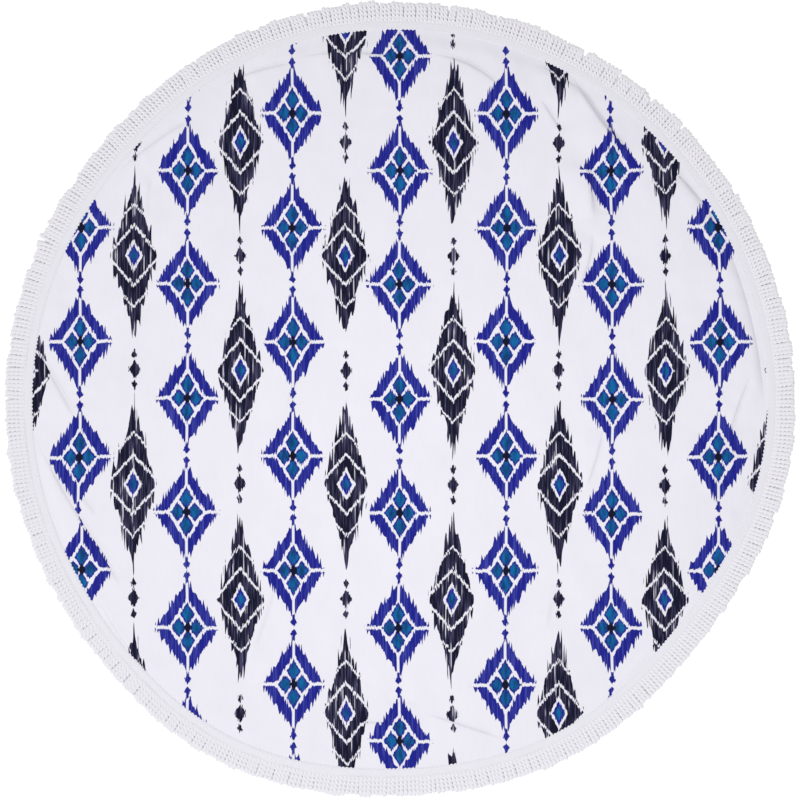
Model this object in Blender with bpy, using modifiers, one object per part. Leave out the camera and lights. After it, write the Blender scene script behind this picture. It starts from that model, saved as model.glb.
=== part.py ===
"""Round beach towel with a looped fringe, spread out flat with its printed face up.

Metres, +Z up. The towel lies on the plane z = 0, with the origin under the middle of its outline.
Seen from above its face, +X is to the right and +Y is up the print.
"""

import math
import random
from collections import namedtuple

import bmesh
import bpy
from mathutils import Vector, geometry

# Driving dimensions: a 1.5 m towel, measured across the ends of its loops.
MEAN_RADIUS = 0.7456
CLOTH_THICKNESS = 0.003
HEADING_WIDTH = 0.018
HEADING_THICKNESS = 0.0015
HEADING_OVERHANG = 0.001  # how far the heading reaches past the cloth's edge
LOOP_LENGTH = 0.036  # from the heading to the loops' ends
LOOP_ROOT_THICKNESS = 0.0048
LOOP_THICKNESS = 0.0052
LOOP_TIP_THICKNESS = 0.0034
GAP = 0.0003  # left between pieces that touch

# The outline isn't a true circle: waves round it, each with its count, height and first crest.
Wave = namedtuple("Wave", "count height crest_deg")
OUTLINE_WAVES = (
    Wave(2, 0.0064, 67),
    Wave(3, 0.0038, 4),
    Wave(4, 0.0026, -1),
    Wave(5, 0.0010, 20),
    Wave(6, 0.0029, -4),
    Wave(7, 0.0019, -12),
    Wave(8, 0.0012, -20),
)

# The main creases of the lying cloth. Each is a soft ridge along a shallow bow: the middle and the
# direction of its chord, its length, how far it bows to the left of that direction, its height, its
# mean half-width, and its lean, which makes the left side steeper (over 0) or the right one.
Crease = namedtuple("Crease", "x y turn_deg length bow height half_width lean")
CREASES = (
    Crease(-0.642, 0.022, -61, 0.150, 0.000, 0.0055, 0.018, 0.4),
    Crease(-0.606, 0.104, -109, 0.145, 0.005, 0.0040, 0.018, 0.2),
    Crease(-0.507, 0.230, -97, 0.165, 0.004, 0.0045, 0.017, 0.2),
    Crease(-0.610, -0.195, -59, 0.300, -0.008, 0.0060, 0.018, 0.4),
    Crease(-0.552, -0.306, -58, 0.100, 0.000, 0.0035, 0.016, 0.4),
    Crease(-0.521, -0.441, -56, 0.190, -0.006, 0.0035, 0.015, 0.4),
    Crease(-0.463, 0.478, 35, 0.180, 0.004, 0.0045, 0.016, 0.3),
    Crease(-0.268, 0.612, 17, 0.145, 0.006, 0.0045, 0.016, 0.3),
    Crease(-0.085, 0.640, -2, 0.210, 0.012, 0.0050, 0.017, 0.3),
    Crease(0.129, 0.614, -27, 0.155, 0.015, 0.0050, 0.018, 0.3),
    Crease(0.288, 0.531, -58, 0.080, 0.000, 0.0040, 0.017, 0.3),
    Crease(0.384, 0.532, -54, 0.200, -0.007, 0.0060, 0.018, 0.4),
    Crease(0.360, 0.396, -82, 0.115, 0.002, 0.0055, 0.019, 0.3),
    Crease(0.352, 0.262, -105, 0.100, 0.006, 0.0040, 0.018, 0.2),
    Crease(0.368, -0.113, -106, 0.120, 0.003, 0.0040, 0.020, 0.2),
    Crease(0.562, 0.378, -50, 0.135, 0.002, 0.0055, 0.016, 0.4),
    Crease(0.650, 0.139, -77, 0.330, 0.015, 0.0060, 0.018, 0.4),
    Crease(0.641, -0.015, -109, 0.120, -0.003, 0.0045, 0.015, 0.2),
    Crease(0.454, -0.466, 47, 0.440, -0.015, 0.0055, 0.017, 0.3),
    Crease(-0.041, -0.604, -1, 0.150, -0.004, 0.0050, 0.018, 0.3),
    Crease(0.122, -0.614, -18, 0.155, 0.000, 0.0050, 0.018, 0.3),
    Crease(-0.190, 0.048, -112, 0.180, 0.002, 0.0040, 0.020, 0.2),
    Crease(-0.204, -0.121, -99, 0.120, 0.002, 0.0035, 0.020, 0.2),
    Crease(-0.254, -0.415, -109, 0.140, 0.001, 0.0035, 0.020, 0.2),
)
CREASE_STEP = 0.022  # between the rows of points along a crease
CREASE_ROWS = (-1.0, -0.5, 0.0, 0.5, 1.0)  # across a crease, in half-widths
FLAT_STEP = 0.052  # between the points of the flat cloth
CREASE_CLEARANCE = 0.016  # from a crease's points to those of the flat cloth
LEAST_SPACING = 0.004  # between any two points of the creases
RIM_POINTS = 144

# The loops lie in locks, as the teeth of a comb, with a short slit between neighbours.
LOCK_COUNT = 96
SLIT_WIDTH = 0.0026
SLIT_DEPTH = 0.013
LOCK_CORNER = 0.0045  # how far a lock's end is rounded off
LOCK_UNEVENNESS = 0.0017
SEED = 11

# Where the fringe stands open.
Split = namedtuple("Split", "at_deg depth width")
OPEN_SPLITS = (
    Split(5, 0.018, 0.005),
    Split(44, 0.020, 0.005),
    Split(50, 0.022, 0.006),
    Split(62, 0.026, 0.010),
    Split(75.5, 0.020, 0.005),
    Split(83, 0.026, 0.006),
    Split(93, 0.022, 0.004),
    Split(104, 0.024, 0.005),
    Split(121, 0.020, 0.005),
    Split(156, 0.028, 0.006),
    Split(180, 0.020, 0.006),
    Split(211, 0.020, 0.005),
)

HEADING_OUTER = LOOP_LENGTH + GAP / 2  # distances in from the outline
HEADING_INNER = HEADING_OUTER + HEADING_WIDTH
CLOTH_EDGE = HEADING_OUTER + HEADING_OVERHANG
LOOP_ROOT = LOOP_LENGTH - GAP / 2
FADE_LENGTH = 0.014  # a crease dies out over this before it meets the heading

WHITE_CLOTH = (0.86, 0.84, 0.88, 1)
WHITE_YARN = (0.84, 0.83, 0.86, 1)


def outline_radius(angle):
    """The radius from the mean circle's centre to the ends of the loops, at an angle from +X."""
    waves = sum(w.height * math.cos(w.count * (angle - math.radians(w.crest_deg))) for w in OUTLINE_WAVES)
    return MEAN_RADIUS + waves


def from_mean_centre(angle, inset):
    """The point at this angle and distance in from the outline, from the mean circle's centre."""
    radius = outline_radius(angle) - inset
    return Vector((radius * math.cos(angle), radius * math.sin(angle)))


def slits():
    """(angle, depth, width) of each slit between two locks, with the open splits among them."""
    pitch = math.tau / LOCK_COUNT
    rows = [[i * pitch, SLIT_DEPTH, SLIT_WIDTH] for i in range(LOCK_COUNT)]
    for split in OPEN_SPLITS:
        nearest = round(math.radians(split.at_deg) / pitch) % LOCK_COUNT
        rows[nearest] = [math.radians(split.at_deg), split.depth, split.width]
    return rows


def comb_outline():
    """The loops' ends as (angle, inset): for each lock its slit, two rounded corners and uneven end."""
    chance = random.Random(SEED)
    points = []
    rows = slits()
    for here, following in zip(rows, rows[1:] + [[rows[0][0] + math.tau, *rows[0][1:]]]):
        start = here[0] + here[2] / 2 / MEAN_RADIUS
        end = following[0] - following[2] / 2 / MEAN_RADIUS
        corner = LOCK_CORNER / MEAN_RADIUS
        inset = chance.uniform(-LOCK_UNEVENNESS, LOCK_UNEVENNESS)
        slope = chance.uniform(-LOCK_UNEVENNESS, LOCK_UNEVENNESS) / 2
        points.append((here[0], here[1]))
        points.append((start, inset + LOCK_CORNER))
        points.append((start + corner, inset + slope))
        points.append((end - corner, inset - slope))
        points.append((end, inset + LOCK_CORNER))
    return points


def outline_middle():
    """The middle of the whole outline, from the mean circle's centre. It goes over the origin."""
    ends = [from_mean_centre(angle, inset) for angle, inset in comb_outline()]
    xs = [end.x for end in ends]
    ys = [end.y for end in ends]
    return Vector(((min(xs) + max(xs)) / 2, (min(ys) + max(ys)) / 2))


MIDDLE = outline_middle()


def on_outline(angle, inset):
    """The point in the plane at this distance in from the outline."""
    return from_mean_centre(angle, inset) - MIDDLE


def inset_of(point):
    """How far a point in the plane lies in from the outline."""
    from_centre = point + MIDDLE
    return outline_radius(math.atan2(from_centre.y, from_centre.x)) - from_centre.length


def ring_of_points(count, inset):
    return [on_outline(math.tau * i / count, inset) for i in range(count)]


def room_inside_heading(point):
    """How far a point of the cloth lies inside the heading's inner edge."""
    return inset_of(point) - HEADING_INNER


def crease_point(crease, along, across):
    """A point given by its place along the chord (-1 to 1) and across the ridge in half-widths."""
    turn = math.radians(crease.turn_deg)
    half_width = crease.half_width * (1 - math.copysign(crease.lean, across))
    side = crease.bow * (1 - along**2) + across * half_width
    forward = along * crease.length / 2
    left = Vector((-math.sin(turn), math.cos(turn)))
    ahead = Vector((math.cos(turn), math.sin(turn)))
    return Vector((crease.x, crease.y)) + forward * ahead + side * left


def ridge(crease, point):
    """One crease's height over this point."""
    turn = math.radians(crease.turn_deg)
    offset = point - Vector((crease.x, crease.y))
    along = (offset.x * math.cos(turn) + offset.y * math.sin(turn)) / (crease.length / 2)
    if abs(along) >= 1:
        return 0.0
    side = offset.y * math.cos(turn) - offset.x * math.sin(turn) - crease.bow * (1 - along**2)
    across = side / (crease.half_width * (1 - math.copysign(crease.lean, side)))
    if abs(across) >= 1:
        return 0.0
    return crease.height * (1 - along**4) * (1 - across**2) ** 2


def fold_height(point):
    """How far the creases lift the cloth here, dying out towards the heading."""
    fade = min(max(room_inside_heading(point) / FADE_LENGTH, 0.0), 1.0)
    return fade * sum(ridge(crease, point) for crease in CREASES)


def cloth_points():
    """Points of the sheet: rows along each crease, and a wider triangular grid between them."""
    points = []
    for crease in CREASES:
        steps = max(2, round(crease.length / CREASE_STEP))
        for i in range(steps + 1):
            for across in CREASE_ROWS:
                point = crease_point(crease, 2 * i / steps - 1, across)
                clear = all((point - other).length > LEAST_SPACING for other in points)
                if clear and room_inside_heading(point) > LEAST_SPACING:
                    points.append(point)
    on_creases = list(points)
    row_step = FLAT_STEP * math.sqrt(3) / 2
    reach = math.ceil(MEAN_RADIUS / row_step)
    for row in range(-reach, reach + 1):
        for column in range(-reach, reach + 1):
            point = Vector(((column + 0.5 * (row % 2)) * FLAT_STEP, row * row_step))
            inside = room_inside_heading(point) > CREASE_CLEARANCE
            if inside and all((point - other).length > CREASE_CLEARANCE for other in on_creases):
                points.append(point)
    return points


def add_object(name, mesh, collection, material):
    obj = bpy.data.objects.new(name, mesh)
    obj.data.materials.append(material)
    collection.objects.link(obj)
    return obj


def add_thickness(obj, thickness):
    """Solidify downwards from the surface."""
    solidify = obj.modifiers.new("thickness", "SOLIDIFY")
    solidify.thickness = thickness
    solidify.offset = -1


def make_material(name, colour, roughness):
    material = bpy.data.materials.new(name)
    material.use_nodes = True
    shader = material.node_tree.nodes["Principled BSDF"]
    shader.inputs["Base Color"].default_value = colour
    shader.inputs["Roughness"].default_value = roughness
    material.diffuse_color = colour
    return material


def build_cloth(collection, material):
    """The printed cloth: one round sheet, lifted along its creases and flat elsewhere."""
    rim = ring_of_points(RIM_POINTS, CLOTH_EDGE)
    under_heading = ring_of_points(RIM_POINTS, HEADING_INNER)
    points = rim + under_heading + cloth_points()
    rim_edges = [(i, (i + 1) % RIM_POINTS) for i in range(RIM_POINTS)]
    inner_edges = [(RIM_POINTS + a, RIM_POINTS + b) for a, b in rim_edges]
    keep_inside = 1
    points, _, triangles, _, _, _ = geometry.delaunay_2d_cdt(
        points, rim_edges + inner_edges, [], keep_inside, 1e-6
    )
    mesh = bpy.data.meshes.new("towel_cloth")
    heights = [CLOTH_THICKNESS + fold_height(point) for point in points]
    mesh.from_pydata([(p.x, p.y, z) for p, z in zip(points, heights)], [], triangles)
    mesh.shade_smooth()
    cloth = add_object("towel_cloth", mesh, collection, material)
    add_thickness(cloth, CLOTH_THICKNESS)


def build_heading(collection, material):
    """The fringe's woven band, stitched flat over the cloth's edge."""
    bm = bmesh.new()
    top = CLOTH_THICKNESS + GAP + HEADING_THICKNESS
    edges = []
    for inset in (HEADING_OUTER, HEADING_INNER):
        ring = [bm.verts.new((p.x, p.y, top)) for p in ring_of_points(RIM_POINTS, inset)]
        edges += [bm.edges.new((a, b)) for a, b in zip(ring, ring[1:] + ring[:1])]
    bmesh.ops.bridge_loops(bm, edges=edges)
    for face in bm.faces:
        if face.normal.z < 0:
            face.normal_flip()
    mesh = bpy.data.meshes.new("fringe_heading")
    bm.to_mesh(mesh)
    bm.free()
    heading = add_object("fringe_heading", mesh, collection, material)
    add_thickness(heading, HEADING_THICKNESS)


def loop_height(inset):
    """The loops' thickness: level with the heading at the root, lower at the rounded ends."""
    if inset > LOOP_LENGTH / 2:
        root_share = (inset - LOOP_LENGTH / 2) / (LOOP_LENGTH / 2)
        return LOOP_THICKNESS + (LOOP_ROOT_THICKNESS - LOOP_THICKNESS) * min(root_share, 1)
    tip_share = 1 - max(inset, 0) / (LOOP_LENGTH / 2)
    return LOOP_THICKNESS + (LOOP_TIP_THICKNESS - LOOP_THICKNESS) * tip_share**2


def build_loops(collection, material):
    """The skirt of twisted loops: one comb, its spine along the heading and its teeth outwards."""
    bm = bmesh.new()
    edges = []
    spine = [(math.tau * i / RIM_POINTS, LOOP_ROOT) for i in range(RIM_POINTS)]
    for outline in (spine, comb_outline()):
        ring = []
        for angle, inset in outline:
            point = on_outline(angle, inset)
            ring.append(bm.verts.new((point.x, point.y, 0)))
        edges += [bm.edges.new((a, b)) for a, b in zip(ring, ring[1:] + ring[:1])]
    filled = bmesh.ops.triangle_fill(bm, use_beauty=True, edges=edges)
    faces = [item for item in filled["geom"] if isinstance(item, bmesh.types.BMFace)]
    raised = bmesh.ops.extrude_face_region(bm, geom=faces, use_keep_orig=True)
    for vert in (item for item in raised["geom"] if isinstance(item, bmesh.types.BMVert)):
        vert.co.z = loop_height(inset_of(vert.co.xy))
    bmesh.ops.recalc_face_normals(bm, faces=bm.faces)
    mesh = bpy.data.meshes.new("fringe_loops")
    bm.to_mesh(mesh)
    bm.free()
    add_object("fringe_loops", mesh, collection, material)


def main():
    for obj in list(bpy.data.objects):
        bpy.data.objects.remove(obj)
    collection = bpy.data.collections.new("round_beach_towel")
    bpy.context.scene.collection.children.link(collection)
    cloth_material = make_material("white_printed_terry", WHITE_CLOTH, 0.9)
    yarn_material = make_material("white_cotton_yarn", WHITE_YARN, 0.85)
    build_cloth(collection, cloth_material)
    build_heading(collection, yarn_material)
    build_loops(collection, yarn_material)


main()
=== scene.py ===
"""Looks of the round beach towel: printed towelling, a woven heading, its stitches and a skirt of loops.

The towel lies flat with its printed face up and is seen from straight above. Metres, +Z up.
"""

import math
import random
from collections import namedtuple

import bpy
import numpy as np
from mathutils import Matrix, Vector, geometry, noise


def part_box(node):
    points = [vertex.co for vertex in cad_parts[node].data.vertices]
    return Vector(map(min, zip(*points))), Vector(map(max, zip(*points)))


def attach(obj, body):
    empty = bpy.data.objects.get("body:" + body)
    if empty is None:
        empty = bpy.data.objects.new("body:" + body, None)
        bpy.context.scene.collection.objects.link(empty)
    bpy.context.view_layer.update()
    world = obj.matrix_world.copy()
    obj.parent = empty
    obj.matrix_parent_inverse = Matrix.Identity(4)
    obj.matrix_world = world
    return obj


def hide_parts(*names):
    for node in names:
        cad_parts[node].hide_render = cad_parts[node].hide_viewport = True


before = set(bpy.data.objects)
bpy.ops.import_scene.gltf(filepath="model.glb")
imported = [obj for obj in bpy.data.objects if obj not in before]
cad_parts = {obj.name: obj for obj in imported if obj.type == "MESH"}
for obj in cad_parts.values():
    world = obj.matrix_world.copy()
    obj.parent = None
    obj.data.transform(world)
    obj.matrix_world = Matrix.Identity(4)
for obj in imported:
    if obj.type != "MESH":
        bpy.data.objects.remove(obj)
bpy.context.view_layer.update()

# ---- The printed cloth ----
# One circle of cotton towelling, shorn to velour on its printed face and left as plain white loops
# on its back. Its edge is turned under once, and it lies spread, with creases mostly near its rim.

RIM_DIRECTIONS = 144  # the frame's rings have a point in each


def outer_edge(node):
    """(angles, radii) of a CAD node's outer edge, a point in each of the frame's directions."""
    furthest = {}
    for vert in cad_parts[node].data.vertices:
        angle = math.atan2(vert.co.y, vert.co.x)
        direction = round(angle / math.tau * RIM_DIRECTIONS) % RIM_DIRECTIONS
        furthest[direction] = max(furthest.get(direction, (0, 0)), (vert.co.xy.length, angle))
    radii, angles = zip(*furthest.values())
    return np.array(angles), np.array(radii)


def radius_at(edge, angle):
    angles, radii = edge
    return np.interp(angle, angles, radii, period=math.tau)


CLOTH_EDGE = outer_edge("towel_cloth")
CLOTH_THICKNESS = 0.003
HEADING_WIDTH = 0.018
HEADING_OVERHANG = 0.001  # how far the heading reaches past the cloth's edge
FADE_LENGTH = 0.024  # the cloth's unevenness dies out over this before it meets the heading


def inside_heading(x, y):
    """How far points lie inside the heading's inner edge."""
    rim = radius_at(CLOTH_EDGE, np.arctan2(y, x))
    return rim + HEADING_OVERHANG - HEADING_WIDTH - np.hypot(x, y)


# Each crease is a soft step down to the left of a shallow bow, between a crest and a trough that both
# die out gently: the middle and direction of the bow's chord, its length, how far it bows to the
# left, the step's drop and width, and the width of print that its tuck takes up.
Crease = namedtuple("Crease", "x y turn_deg length bow drop width tuck")
CREASES = (
    Crease(-0.642, 0.022, -61, 0.150, 0.000, 0.0042, 0.016, 0.006),
    Crease(-0.606, 0.104, -109, 0.145, 0.005, 0.0035, 0.009, 0.002),
    Crease(-0.507, 0.230, -97, 0.165, 0.004, 0.0035, 0.010, 0.002),
    Crease(-0.610, -0.195, -59, 0.300, -0.008, 0.0034, 0.012, 0.009),
    Crease(-0.552, -0.306, -58, 0.100, 0.000, 0.0030, 0.010, 0.003),
    Crease(-0.521, -0.441, -56, 0.190, -0.006, 0.0026, 0.009, 0.005),
    Crease(-0.463, 0.478, 35, 0.180, 0.004, 0.0040, 0.011, 0.003),
    Crease(-0.268, 0.612, 17, 0.145, 0.006, 0.0035, 0.011, 0.003),
    Crease(-0.085, 0.640, -2, 0.210, 0.012, 0.0033, 0.011, 0.004),
    Crease(0.129, 0.614, -27, 0.155, 0.015, 0.0038, 0.012, 0.008),
    Crease(0.288, 0.531, -58, 0.080, 0.000, 0.0035, 0.010, 0.003),
    Crease(0.384, 0.532, -54, 0.200, -0.007, 0.0084, 0.015, 0.008),
    Crease(0.360, 0.396, -82, 0.115, 0.002, 0.0092, 0.018, 0.003),
    Crease(0.352, 0.262, -105, 0.100, 0.006, 0.0035, 0.010, 0.002),
    Crease(0.368, -0.113, -106, 0.120, 0.003, 0.0035, 0.010, 0.002),
    Crease(0.562, 0.378, -50, 0.135, 0.002, 0.0075, 0.012, 0.007),
    Crease(0.650, 0.139, -77, 0.330, 0.015, 0.0047, 0.011, 0.006),
    Crease(0.641, -0.015, -109, 0.120, -0.003, 0.0038, 0.010, 0.003),
    Crease(0.454, -0.466, 47, 0.440, -0.015, 0.0053, 0.012, 0.007),
    Crease(-0.041, -0.604, -1, 0.150, -0.004, 0.0030, 0.009, 0.005),
    Crease(0.122, -0.614, -18, 0.155, 0.000, 0.0030, 0.009, 0.006),
    Crease(-0.190, 0.048, -112, 0.180, 0.002, 0.0033, 0.010, 0.000),
    Crease(-0.204, -0.121, -99, 0.120, 0.002, 0.0028, 0.010, 0.000),
    Crease(-0.254, -0.415, -109, 0.140, 0.001, 0.0028, 0.010, 0.000),
    # the slighter ones, which the solid cloth leaves out
    Crease(-0.588, -0.199, -50, 0.055, 0.001, 0.0024, 0.009, 0.000),
    Crease(0.303, 0.607, -32, 0.085, 0.001, 0.0024, 0.009, 0.002),
    Crease(0.663, -0.174, 47, 0.070, 0.000, 0.0021, 0.008, 0.000),
    Crease(0.487, -0.391, -105, 0.070, 0.000, 0.0019, 0.009, 0.000),
    Crease(0.001, -0.574, 5, 0.060, 0.001, 0.0021, 0.009, 0.000),
    Crease(0.285, -0.391, -104, 0.090, 0.001, 0.0019, 0.010, 0.000),
    Crease(-0.473, 0.379, -96, 0.085, 0.000, 0.0021, 0.009, 0.000),
    Crease(0.402, -0.021, 46, 0.065, 0.000, 0.0019, 0.009, 0.000),
    Crease(0.514, 0.121, -90, 0.070, 0.000, 0.0021, 0.010, 0.000),
    Crease(0.584, -0.096, 57, 0.055, 0.000, 0.0019, 0.008, 0.000),
)
DYING_OUT = 0.070  # how far beyond a step its crest and its trough reach
CREST_SHARE = 0.5  # of a step's drop is over the cloth at rest
GREATEST_CREASE = 0.0070  # creases that meet don't add up beyond this, up or down
LOFT = 0.0018  # how high the cloth lies at rest, which leaves room for the troughs
LOFT_REACH = 0.090  # over this it comes up from the heading
LOFT_TILT = 0.45  # share by which it lies higher a metre on towards +X +Y, where it is most creased
DROOP = 0.0023  # how far the upper right comes down again, close to the heading
DROOP_REACH = 0.034
DROOP_AT_DEG = 68
WELT = 0.0004  # the pile that wells up beside the sewn-down heading
WELT_REACH = 0.005
NOTCH_DEPTH = 0.0006  # of the line itself, where there is a tuck
NOTCH_REACH = 0.0020
TUCK_SLIT = 0.0004  # half the width across which a tuck's print jumps
TUCK_REACH = 0.060  # how far from it the print is drawn in


def place_on(crease, x, y):
    """Where points lie on a crease: along its chord, -1 to 1, and how far to the left of its bow."""
    turn = math.radians(crease.turn_deg)
    ahead = (x - crease.x) * math.cos(turn) + (y - crease.y) * math.sin(turn)
    left = (y - crease.y) * math.cos(turn) - (x - crease.x) * math.sin(turn)
    along = ahead / (crease.length / 2)
    return along, left - crease.bow * (1 - along**2)


def eased(share):
    """A share, cut off at 0 and 1 and level at both."""
    share = np.clip(share, 0, 1)
    return share * share * (3 - 2 * share)


def soft_step(crease, x, y):
    """One crease's height, over and under the cloth at rest."""
    along, side = place_on(crease, x, y)
    drop = CREST_SHARE - eased(side / crease.width + 0.5)
    dying = 1 - eased((abs(side) - crease.width / 2) / DYING_OUT)
    return crease.drop * drop * dying * np.clip(1 - along**4, 0, 1) ** 2


def notches(x, y):
    """How deep the lines of the tucks are cut into the face."""
    deepest = np.zeros(len(x))
    for crease in CREASES:
        along, side = place_on(crease, x, y)
        depth = NOTCH_DEPTH * np.clip(1 - along**4, 0, 1) * np.clip(1 - (side / NOTCH_REACH) ** 2, 0, 1)
        deepest = np.maximum(deepest, depth * (crease.tuck > 0))
    return deepest


def rumple(x, y, size, layer):
    """Even random waves of this size, from about -1 to 1."""
    return np.array([2 * noise.noise(Vector((px, py, layer))) for px, py in zip(x / size, y / size)])


def face_height(x, y):
    """The height of the printed face: creases, a gentle swell and puckers along the stitched heading."""
    room = inside_heading(x, y)
    creases = sum(soft_step(crease, x, y) for crease in CREASES)
    creases = GREATEST_CREASE * np.tanh(creases / GREATEST_CREASE)
    near_rim = np.exp(-room.clip(0) / 0.08)
    swell = 0.0005 * (1 + rumple(x, y, 0.11, 0))
    swell += (0.00018 + 0.0004 * near_rim) * (1 + rumple(x, y, 0.032, 5))
    angle = np.arctan2(y, x)
    pucker = rumple(angle * 0.7, np.hypot(x, y) / 5, 0.024, 9) * np.exp(-room.clip(0) / 0.035)
    tilt = 1 + LOFT_TILT * (x + y)
    rest = LOFT * tilt * eased(room / LOFT_REACH) + WELT * eased(1 + room / WELT_REACH)
    rest += DROOP * np.cos(angle - math.radians(DROOP_AT_DEG)).clip(0) ** 2 * eased(room / DROOP_REACH)
    uneven = eased(room / FADE_LENGTH) * (creases + tilt * swell + 0.0003 * (1 + pucker))
    return CLOTH_THICKNESS + np.maximum(rest + uneven, 0)


def flat_place(x, y):
    """Where points of the lying cloth are on the flat print, once its tucks have taken some up."""
    flat_x, flat_y = np.array(x), np.array(y)
    for crease in CREASES:
        turn = math.radians(crease.turn_deg)
        along, side = place_on(crease, x, y)
        taken = crease.tuck * np.clip(1 - along**2, 0, 1)
        shift = taken / 2 * np.clip(side / TUCK_SLIT, -1, 1) * np.exp(-((side / TUCK_REACH) ** 2))
        flat_x -= shift * math.sin(turn)
        flat_y += shift * math.cos(turn)
    flat_x += 0.0022 * rumple(x, y, 0.30, 21)
    flat_y += 0.0022 * rumple(x, y, 0.30, 22)
    return flat_x, flat_y


RIM_POINTS = 720
CREASE_MARGIN = 0.006  # of fine mesh round a crease
ROW_CLEARANCE = 0.0014  # from the rows along a crease to the mesh's other points
ROW_STEP = 0.004
ROW_SIDES = (-NOTCH_REACH, -TUCK_SLIT, TUCK_SLIT, NOTCH_REACH)


def near_crease(x, y):
    near = np.zeros(len(x), bool)
    for crease in CREASES:
        along, side = place_on(crease, x, y)
        reach = crease.width + CREASE_MARGIN
        near |= (abs(along) < 1 + CREASE_MARGIN / crease.length) & (abs(side) < reach)
    return near


def on_rows(x, y):
    blocked = np.zeros(len(x), bool)
    for crease in CREASES:
        along, side = place_on(crease, x, y)
        blocked |= (abs(along) < 1) & (abs(side) < NOTCH_REACH + ROW_CLEARANCE)
    return blocked


def crease_rows(crease):
    """Rows of points along a crease's line, close on either side of it."""
    turn = math.radians(crease.turn_deg)
    steps = round(crease.length / ROW_STEP)
    for side in ROW_SIDES:
        row = []
        for i in range(1, steps):
            along = 2 * i / steps - 1
            ahead = along * crease.length / 2
            left = crease.bow * (1 - along**2) + side
            x = crease.x + ahead * math.cos(turn) - left * math.sin(turn)
            y = crease.y + ahead * math.sin(turn) + left * math.cos(turn)
            if inside_heading(x, y) > 0:
                row.append((x, y))
        yield row


def triangulated(step, with_rows):
    """(x, y, triangles) of the round: a triangular net, at half its step round the creases."""
    angle = np.arange(RIM_POINTS) * math.tau / RIM_POINTS
    rim = radius_at(CLOTH_EDGE, angle)
    points = list(zip(rim * np.cos(angle), rim * np.sin(angle)))
    edges = [(i, (i + 1) % RIM_POINTS) for i in range(RIM_POINTS)]
    if with_rows:
        for crease in CREASES:
            for row in crease_rows(crease):
                edges += [(len(points) + i, len(points) + i + 1) for i in range(len(row) - 1)]
                points += row
    row_step = step / 2 * math.sqrt(3) / 2
    reach = math.ceil(rim.max() / row_step)
    column, row = np.meshgrid(np.arange(-2 * reach, 2 * reach), np.arange(-reach, reach + 1))
    column, row = column.ravel(), row.ravel()
    x = (column + 0.5 * (row % 2)) * step / 2
    y = row * row_step
    coarse = (row % 2 == 0) & ((column - row // 2) % 2 == 0)
    room = radius_at(CLOTH_EDGE, np.arctan2(y, x)) - np.hypot(x, y)
    within = room > step / 2
    column, x, y, coarse = column[within], x[within], y[within], coarse[within]
    keep = coarse | near_crease(x, y)
    if with_rows:
        keep &= ~on_rows(x, y)
    points += list(zip(x[keep], y[keep]))
    keep_inside = 1
    made, _, triangles, _, _, _ = geometry.delaunay_2d_cdt(
        [Vector(point) for point in points], edges, [], keep_inside, 1e-6
    )
    made = np.array(made)
    return made[:, 0], made[:, 1], np.array(triangles)


FACE_STEP = 0.0066
BACK_STEP = 0.016
HEM_WIDTH = 0.024
HEM_STEP = 0.0004  # the turned-under hem stands this far below the back
face_x, face_y, face_triangles = triangulated(FACE_STEP, with_rows=True)
back_x, back_y, back_triangles = triangulated(BACK_STEP, with_rows=False)
face_z = face_height(face_x, face_y) - notches(face_x, face_y)
hem_room = radius_at(CLOTH_EDGE, np.arctan2(back_y, back_x)) - np.hypot(back_x, back_y)
back_z = face_height(back_x, back_y) - CLOTH_THICKNESS + HEM_STEP * (hem_room > HEM_WIDTH)

face_count = len(face_x)
rim_row = np.arange(RIM_POINTS)
next_row = (rim_row + 1) % RIM_POINTS
edge_faces = np.stack([rim_row, rim_row + face_count, next_row + face_count, next_row], axis=1)
cloth_points = np.concatenate(
    [np.stack([face_x, face_y, face_z], axis=1), np.stack([back_x, back_y, back_z], axis=1)]
)
cloth_faces = (
    face_triangles.tolist()
    + edge_faces.tolist()
    + (back_triangles[:, ::-1] + face_count).tolist()
)


def new_piece(name, points, faces, materials):
    """An object of these points and faces, shaded smooth."""
    mesh = bpy.data.meshes.new(name)
    mesh.from_pydata(points.tolist(), [], faces)
    mesh.shade_smooth()
    for material in materials:
        mesh.materials.append(material)
    piece = bpy.data.objects.new(name, mesh)
    bpy.context.scene.collection.objects.link(piece)
    return piece


def add_uv_map(mesh, name, corners):
    """A UV map given by one (u, v) for each face corner."""
    layer = mesh.uv_layers.new(name=name)
    layer.data.foreach_set("uv", np.asarray(corners, np.float32).ravel())


def corner_points(mesh):
    """The point at each face corner."""
    found = np.empty(len(mesh.loops), np.int32)
    mesh.loops.foreach_get("vertex_index", found)
    return found


# The bake's map: the printed face fills the square, its edge is a thin ring round it, and the plain
# back is small in a corner.
FACE_SHARE = 0.485  # the printed face's largest radius in the map
EDGE_SHARE = 0.494
BACK_SHARE = 0.080
BACK_PLACE = 0.912


# -- shader helpers, first needed for the cloth --


def calc(tree, operation, *values, clamp=False):
    """A Math node on sockets or numbers, giving its output socket."""
    node = tree.nodes.new("ShaderNodeMath")
    node.operation = operation
    node.use_clamp = clamp
    for socket, value in zip(node.inputs, values):
        if isinstance(value, bpy.types.NodeSocket):
            tree.links.new(value, socket)
        else:
            socket.default_value = value
    return node.outputs[0]


def total(tree, operation, *values):
    """A chain of one two-input operation over any number of sockets."""
    result = values[0]
    for value in values[1:]:
        result = calc(tree, operation, result, value)
    return result


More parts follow.
